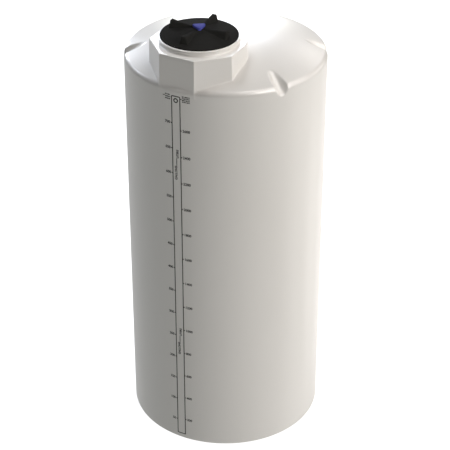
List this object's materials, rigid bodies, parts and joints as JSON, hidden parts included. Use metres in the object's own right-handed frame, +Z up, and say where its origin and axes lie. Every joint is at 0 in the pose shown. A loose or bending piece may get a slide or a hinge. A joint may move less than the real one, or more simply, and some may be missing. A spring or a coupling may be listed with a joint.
{
  "type": "vertical storage tank",
  "caption": "Round vertical moulded plastic storage tank with a domed roof, tie-down notches, a raised octagonal manway and a screw lid with grips and a vent.",
  "frame": {"origin": "middle of the tank's flat foot, on the floor", "axes": "+Z is up along the tank's axis. The manway and the volume scale face -Y. +X is to the right of someone who stands in front and looks at the scale."},
  "size_m": [1.2192, 1.2192, 2.796],
  "materials": {
    "tank_plastic": "satin natural polyethylene",
    "neck_plastic": "satin white moulded plastic",
    "lid_plastic": "black moulded plastic, fine grain",
    "gasket_rubber": "black rubber",
    "vent_plastic": "blue moulded plastic"
  },
  "bodies": {
    "tank": {"tank_bottom": "tank_plastic", "wall_segment_01": "tank_plastic", "wall_segment_02": "tank_plastic", "wall_segment_03": "tank_plastic", "wall_segment_04": "tank_plastic", "wall_segment_05": "tank_plastic", "wall_segment_06": "tank_plastic", "wall_segment_07": "tank_plastic", "wall_segment_08": "tank_plastic", "wall_segment_09": "tank_plastic", "wall_segment_10": "tank_plastic", "wall_segment_11": "tank_plastic", "wall_segment_12": "tank_plastic", "shoulder_front": "tank_plastic", "shoulder_front_right": "tank_plastic", "shoulder_back_right": "tank_plastic", "shoulder_back": "tank_plastic", "shoulder_back_left": "tank_plastic", "shoulder_front_left": "tank_plastic", "roof_crown": "tank_plastic", "riser_wall_front": "tank_plastic", "riser_wall_front_right": "tank_plastic", "riser_wall_right": "tank_plastic", "riser_wall_back_right": "tank_plastic", "riser_wall_back": "tank_plastic", "riser_wall_back_left": "tank_plastic", "riser_wall_left": "tank_plastic", "riser_wall_front_left": "tank_plastic", "riser_deck": "tank_plastic", "neck_ring": "neck_plastic"},
    "lid_seal": {"lid_gasket": "gasket_rubber"},
    "lid": {"lid": "lid_plastic", "lid_grip_right": "lid_plastic", "lid_grip_back": "lid_plastic", "lid_grip_left": "lid_plastic", "lid_grip_front": "lid_plastic", "vent_base": "vent_plastic", "vent_cap": "vent_plastic"}
  },
  "joints": [
    {"name": "lid_lift", "type": "slide", "parent": "tank", "child": "lid_seal", "axis": [0, 0, 1], "range_m": [0, 0.3]},
    {"name": "lid_turn", "type": "hinge", "parent": "lid_seal", "child": "lid", "pos_m": [0, -0.324, 2.734], "axis": [0, 0, 1], "range_deg": [0, 540]}
  ]
}
